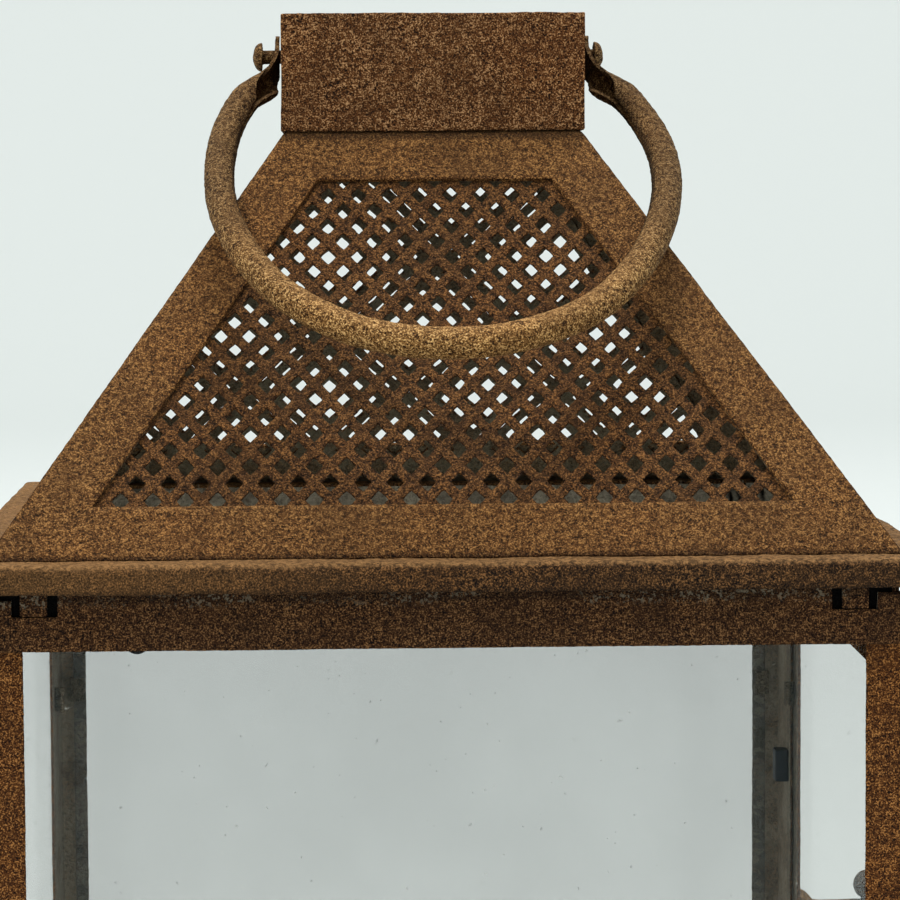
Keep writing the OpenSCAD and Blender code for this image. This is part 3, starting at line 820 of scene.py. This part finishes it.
def close_rim(work, rim, top, bottom):
    """Joins the plate's upper and lower edges by a wall, where it was cut to its outline."""
    lower = {}
    for vert in {vert for edge in rim for vert in edge.verts}:
        if abs(vert.co.z - bottom) < 0.01:
            lower[(round(vert.co.x, 2), round(vert.co.y, 2))] = vert
    for edge in rim:
        first, second = edge.verts
        if abs(first.co.z - top) < 0.01 and abs(second.co.z - top) < 0.01:
            under = [lower.get((round(v.co.x, 2), round(v.co.y, 2))) for v in (second, first)]
            if all(under):
                work.faces.new((first, second, *under))


def make_grilles():
    """The four pierced plates. The back one is out of step with the others."""
    plain = grille_part((0.0, 0.0))
    shifted = grille_part(BACK_GRILLE_SHIFT)
    for side, name in enumerate(SIDES):
        part = shifted if name == "back" else plain
        make_piece(f"roof_grille_{name}_painted", [turned(part, side)], "lantern", PAINT_GRILLE,
                   [f"roof_grille_{name}"], grain_move=0.2, wave_move=0.1, sharp=50)


make_eave()
make_tabs()
make_roof_panels()
make_grilles()


# Collar, bail and rivets

def make_collar():
    """The square chimney: a folded band with softened corners."""
    outline = rectangle(COLLAR - SHEET, COLLAR_LOW, COLLAR, COLLAR_TOP, radius=0.5, cuts=(0, 12, 0, 12))
    count = round(2 * COLLAR / STEP)
    rings = []
    for side in range(4):
        for k in range(count):
            along = -1 + 2 * k / count
            rings.append([square_point((side, along), u, v) for u, v in outline])
    make_piece("collar_painted", [loft(rings, closed=True)], "lantern", PAINT_COLLAR,
               ["collar"], grain_move=0.15, wave_move=0.25)


def bail_point(across, hang, near):
    """A point of the bail: across it, along its hang from the pivots, and toward its upper face.

    The bail sits a little to the right on its rivets, and its ends keep clear of the collar."""
    cosine, sine = math.cos(BAIL_TILT), math.sin(BAIL_TILT)
    moved = across + SWAY_AT_RIVETS + SWAY_BELOW * smooth(-hang, 0, 60)
    if hang > FLANK_Y:
        moved = math.copysign(max(abs(moved), COLLAR + COLLAR_GAP), across)
    return (moved, hang * cosine - near * sine, PIVOT_Z + hang * sine + near * cosine)


def smooth(value, low, high):
    """0 below low, 1 above high and a smooth step between."""
    t = min(1.0, max(0.0, (value - low) / (high - low)))
    return t * t * (3 - 2 * t)


def bail_arm():
    """Stations of the right arm from the lowest point to the eye: outer wall, inward direction, place."""
    arm = []
    bow_steps = round(BOW_R * BOW_ANGLE / (STEP * 0.7))
    for k in range(bow_steps):
        angle = BOW_ANGLE * k / bow_steps
        out = np.array([math.sin(angle), -math.cos(angle)])
        arm.append((np.array([0, BOW_Y]) + out * (BOW_R + TUBE_R), -out, 0.0))
    flank_steps = round(FLANK_R * (FLANK_END - BOW_ANGLE) / (STEP * 0.7))
    for k in range(flank_steps + 1):
        angle = BOW_ANGLE + (FLANK_END - BOW_ANGLE) * k / flank_steps
        out = np.array([math.sin(angle), -math.cos(angle)])
        arm.append((np.array([FLANK_X, FLANK_Y]) + out * (FLANK_R + TUBE_R), -out, k / flank_steps))
    start, out = arm[-1][0], -arm[-1][1]
    tangent = np.array([-out[1], out[0]])
    finish = np.array([COLLAR + EYE_OUT, EYE_START])
    reach = np.linalg.norm(finish - start)
    bend = []
    for k in range(1, BEND_STEPS + 1):
        t = k / BEND_STEPS
        bend.append((2 * t ** 3 - 3 * t ** 2 + 1) * start + (t ** 3 - 2 * t ** 2 + t) * reach * tangent
                    + (3 * t ** 2 - 2 * t ** 3) * finish + (t ** 3 - t ** 2) * reach * np.array([0, 1.0]))
    bend += [finish + np.array([0, rise]) for rise in np.linspace(0.5, EYE_R - EYE_START - 0.03, 14)]
    for k, point in enumerate(bend):
        before = bend[k - 1] if k else start
        ahead = bend[k + 1] if k + 1 < len(bend) else point + np.array([0, 0.5])
        along = (ahead - before) / np.linalg.norm(ahead - before)
        arm.append((point, np.array([-along[1], along[0]]), 1 + (k + 1) / BEND_STEPS))
    return arm


def bail_section(wall, inward, place, mirror):
    """The tube's outline at one station: rolled, open toward the collar near its end, then a flat eye."""
    flat = smooth(place, 1.45, 1.95)
    near = math.radians(178 - 120 * smooth(place, 0.7, 1.7))
    far = math.radians(178 - 100 * smooth(place, 1.45, 1.9))
    eye = wall[1]
    half = TUBE_R + 0.9 * smooth(place, 1.5, 2.0)
    if eye > 0:
        half = math.sqrt(max(0.15, EYE_R ** 2 - eye ** 2))
    outer = []
    inner = []
    for u in np.linspace(-1, 1, 41):
        angle = near * u if u > 0 else far * u
        for ring, radius, depth in ((outer, TUBE_R, 0.0), (inner, TUBE_R - TUBE_WALL, TUBE_WALL)):
            rolled_in = TUBE_R - radius * math.cos(angle)
            rolled_near = radius * math.sin(angle)
            into = rolled_in * (1 - flat) + (depth + 0.25 * u * u) * flat
            toward = rolled_near * (1 - flat) + half * u * flat
            across, hang = wall + inward * into
            ring.append(bail_point(across * mirror, hang, toward))
    return outer + inner[::-1]


def make_bail():
    """The whole bail, from the left eye round to the right one."""
    arm = bail_arm()
    rings = [bail_section(*station, -1) for station in reversed(arm[1:])]
    rings += [bail_section(*station, 1) for station in arm]
    make_piece("bail_painted", [loft(rings)], "bail", PAINT_BAIL, ["bail"],
               grain_move=0.2, wave_move=0.25)


def lathe(profile, place, steps=48):
    """A turned part from (radius, height) pairs. place turns (u, v, height) into a point."""
    rings = []
    for k in range(steps):
        angle = 2 * math.pi * k / steps
        rings.append([place(r * math.cos(angle), r * math.sin(angle), h) for r, h in profile])
    return loft(rings, closed=True)


def dome(radius, rise, start, steps=7):
    """A rounded head as (radius, height) pairs, from its rim to just short of its middle."""
    angles = np.linspace(0, math.pi / 2 * 0.97, steps)
    return [(radius * math.cos(a), start + rise * math.sin(a)) for a in angles]


def make_rivets():
    """The bail's rivets: a shank through the collar, a foot inside it and a domed head outside."""
    foot = COLLAR - SHEET - RIVET_FOOT_T
    head = COLLAR + EYE_GAP + EYE_T + RIVET_HEAD_GAP
    profile = [(0.05, foot), (2.9, foot), (RIVET_FOOT_R, foot + 0.3), (RIVET_FOOT_R, foot + 1.3),
               (RIVET_SHANK_R, foot + RIVET_FOOT_T), (RIVET_SHANK_R, head - 0.6), (2.3, head),
               (3.6, head - 0.2), (4.15, head - 0.1), *dome(RIVET_HEAD_R, RIVET_HEAD_T, head + 0.1)]
    parts = [lathe(profile, lambda u, v, h: (hand * h, u, PIVOT_Z + v)) for hand in (-1, 1)]
    make_piece("bail_rivets_painted", parts, "lantern", PAINT_BAIL, ["bail_rivets"],
               grain_move=0.18, wave_move=0.1)


make_collar()
make_bail()
make_rivets()


# Door

def make_door_frame():
    """The overlay door's stiles and rails."""
    stiles = (("hinge_stile", DOOR_FRONT, -DOOR_WINDOW), ("latch_stile", DOOR_WINDOW, DOOR_BACK))
    for name, front, back in stiles:
        outline = rectangle(DOOR_X, front, DOOR_OUTER, back, cuts=(0, 9, 0, 9))
        part = bar(outline, lambda u, v, w: (u, v, w), DOOR_LOW, DOOR_TOP)
        make_piece(f"door_{name}_painted", [part], "door", PAINT_POST, [f"door_{name}"])
    rails = (("bottom_rail", DOOR_LOW, DOOR_WINDOW_LOW), ("top_rail", DOOR_WINDOW_TOP, DOOR_TOP))
    for name, low, high in rails:
        outline = rectangle(DOOR_X, low, DOOR_OUTER, high, cuts=(0, 8, 0, 8))
        part = bar(outline, lambda u, v, w: (u, w, v), -DOOR_WINDOW, DOOR_WINDOW)
        make_piece(f"door_{name}_painted", [part], "door", PAINT_POST, [f"door_{name}"])


def make_knob():
    """A turned knob: a domed rosette, a stem and an upright bar with a ball at each end."""
    domed = [(ROSETTE_R * math.cos(a), ROSETTE_R * math.sin(a)) for a in np.linspace(0.0, 1.08, 8)]
    stem = [(0.05, -TENON_LENGTH), (TENON_R, -TENON_LENGTH), (TENON_R, 0.0), (ROSETTE_R - 0.4, 0.0), *domed,
            (2.7, 6.6), (2.5, 9.0), (2.5, 15.0), (2.6, 20.0), (2.6, KNOB_REACH), (0.05, KNOB_REACH + 0.2)]
    parts = [lathe(stem, lambda u, v, h: (DOOR_OUTER + h, KNOB_Y + u, KNOB_Z + v))]
    angles = np.linspace(0.5, math.pi - 0.03, 16)
    upper = [(BALL_R * math.sin(a), BALL_OUT - BALL_R * math.cos(a)) for a in angles]
    lower = [(radius, -height) for radius, height in reversed(upper)]
    bar_x = DOOR_OUTER + KNOB_REACH
    parts.append(lathe([*lower, *upper], lambda u, v, h: (bar_x + u, KNOB_Y + v, KNOB_Z + h)))
    make_piece("door_knob_painted", parts, "door", PAINT_BAIL, ["door_knob"],
               grain_move=0.12, wave_move=0.1)


def make_magnet():
    """The door's magnet: a small block with round edges."""
    deep, wide, tall = MAGNET
    outline = rectangle(INNER - deep, MAGNET_Y, INNER, MAGNET_Y + wide, radius=1.4, cuts=(2, 3, 2, 3))
    part = bar(outline, lambda u, v, w: (u, v, w), MAGNET_Z, MAGNET_Z + tall)
    make_piece("door_magnet_coated", [part], "lantern", MAGNET_COAT, ["door_magnet"],
               grain_move=0.03, wave_move=0.0)


make_door_frame()
make_knob()
make_magnet()


# CAD nodes that keep their own shape

def finish_node(name, material):
    """Gives a CAD node one material."""
    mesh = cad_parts[name].data
    mesh.materials.clear()
    mesh.materials.append(material)


finish_node("pane_front", GLASS)
finish_node("pane_back", GLASS_BACK)
finish_node("pane_left", GLASS_LEFT)
finish_node("door_pane", GLASS_SIDE)
for node_name in ("pane_clips", "door_clips"):
    finish_node(node_name, PAINT_CLIPS)
for node_name in ("corner_gussets", "collar_cap", "hinge_leaf_post_upper",
                  "hinge_leaf_post_lower", "hinge_leaf_door_upper", "hinge_leaf_door_lower"):
    finish_node(node_name, PAINT_COLLAR)
for node_name in ("hinge_pin_upper", "hinge_pin_lower", "hinge_rivets_post", "hinge_rivets_door"):
    finish_node(node_name, PAINT_BAIL)
finish_node("pane_dots", RUBBER)


# Floor, backdrop and light

def make_stage():
    """A pale floor that curves up into a wall far behind the lantern, painted darker near the lantern as
    painted shade.
    """
    half, back, bend = 9.0, 5.0, 2.5
    profile = [(-8.0, 0.0), (back, 0.0)]
    angles = np.linspace(0.1, math.pi / 2, 16)
    profile += [(back + bend * math.sin(a), bend - bend * math.cos(a)) for a in angles]
    profile += [(back + bend, 9.0)]
    verts = [(x, y, z) for y, z in profile for x in (-half, half)]
    faces = [(2 * i, 2 * i + 1, 2 * i + 3, 2 * i + 2) for i in range(len(profile) - 1)]
    mesh = bpy.data.meshes.new("floor")
    mesh.from_pydata(verts, [], faces)
    mesh.shade_smooth()
    n = Nodes("floor_paper")
    away = n.tree.nodes.new("ShaderNodeVectorMath")
    away.operation = "LENGTH"
    n.link(n.coordinates.outputs["Object"], away.inputs[0])
    # Painted shade: the floor darker near the lantern and paler beyond about 4 m
    shade_falloff = n.span(away.outputs["Value"], 0.8, 3.8)
    n.link(n.mix(shade_falloff, (0.62, 0.65, 0.63), (0.81, 0.83, 0.82)), n.shader.inputs["Base Color"])
    n.shader.inputs["Roughness"].default_value = 0.9
    mesh.materials.append(n.material)
    floor = bpy.data.objects.new("floor", mesh)
    bpy.context.scene.collection.objects.link(floor)


def make_light(name, place, target, size, power, colour):
    """A round soft light at a place, aimed at a target."""
    data = bpy.data.lights.new(name, "AREA")
    data.shape = "DISK"
    data.size = size
    data.energy = power
    data.color = colour
    light = bpy.data.objects.new(name, data)
    light.location = place
    aim = Vector(target) - Vector(place)
    light.rotation_euler = aim.to_track_quat("-Z", "Y").to_euler()
    bpy.context.scene.collection.objects.link(light)


def make_world():
    """Even, slightly cool light from all around."""
    world = bpy.data.worlds.new("studio")
    bpy.context.scene.world = world
    world.use_nodes = True
    background = world.node_tree.nodes["Background"]
    background.inputs["Color"].default_value = (0.95, 1.0, 0.985, 1)
    background.inputs["Strength"].default_value = 0.95


make_stage()
make_world()
make_light("key", (-1.4, -1.2, 2.6), (0, 0, 0.3), 1.0, 55, (1.0, 0.98, 0.95))
make_light("overhead", (0.4, 0.2, 3.0), (0, 0, 0.3), 1.6, 60, (0.97, 0.99, 1.0))
bpy.context.scene.view_settings.view_transform = "Standard"
